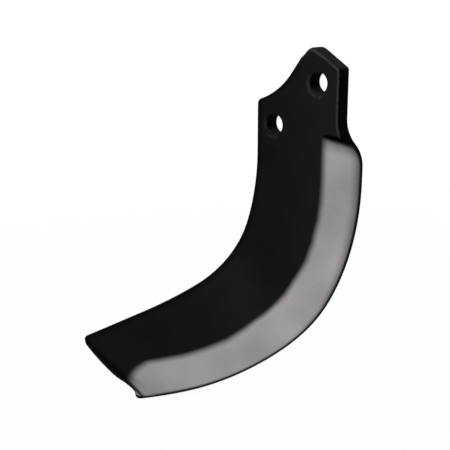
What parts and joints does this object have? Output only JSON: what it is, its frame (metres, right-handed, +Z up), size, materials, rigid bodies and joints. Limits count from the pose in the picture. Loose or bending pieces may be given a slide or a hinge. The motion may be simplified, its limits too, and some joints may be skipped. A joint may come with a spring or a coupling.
{
  "type": "rotary tiller blade",
  "caption": "Curved tiller blade forged from flat bar, with a bolt-on shank, a hollow cut that clears the rotor tube, a bevelled outer edge and a tip bent over to throw the soil.",
  "frame": {"origin": "on the seat face at the back of the shank, midway between the two bolt holes", "axes": "+Y out of the seat face, +Z up the shank, +X across it towards the cutting edge; the blade bends over towards -Y"},
  "size_m": [0.1595, 0.0937, 0.2291],
  "materials": {
    "steel": "satin"
  },
  "bodies": {
    "root": {"tiller_blade": "steel"}
  },
  "joints": []
}
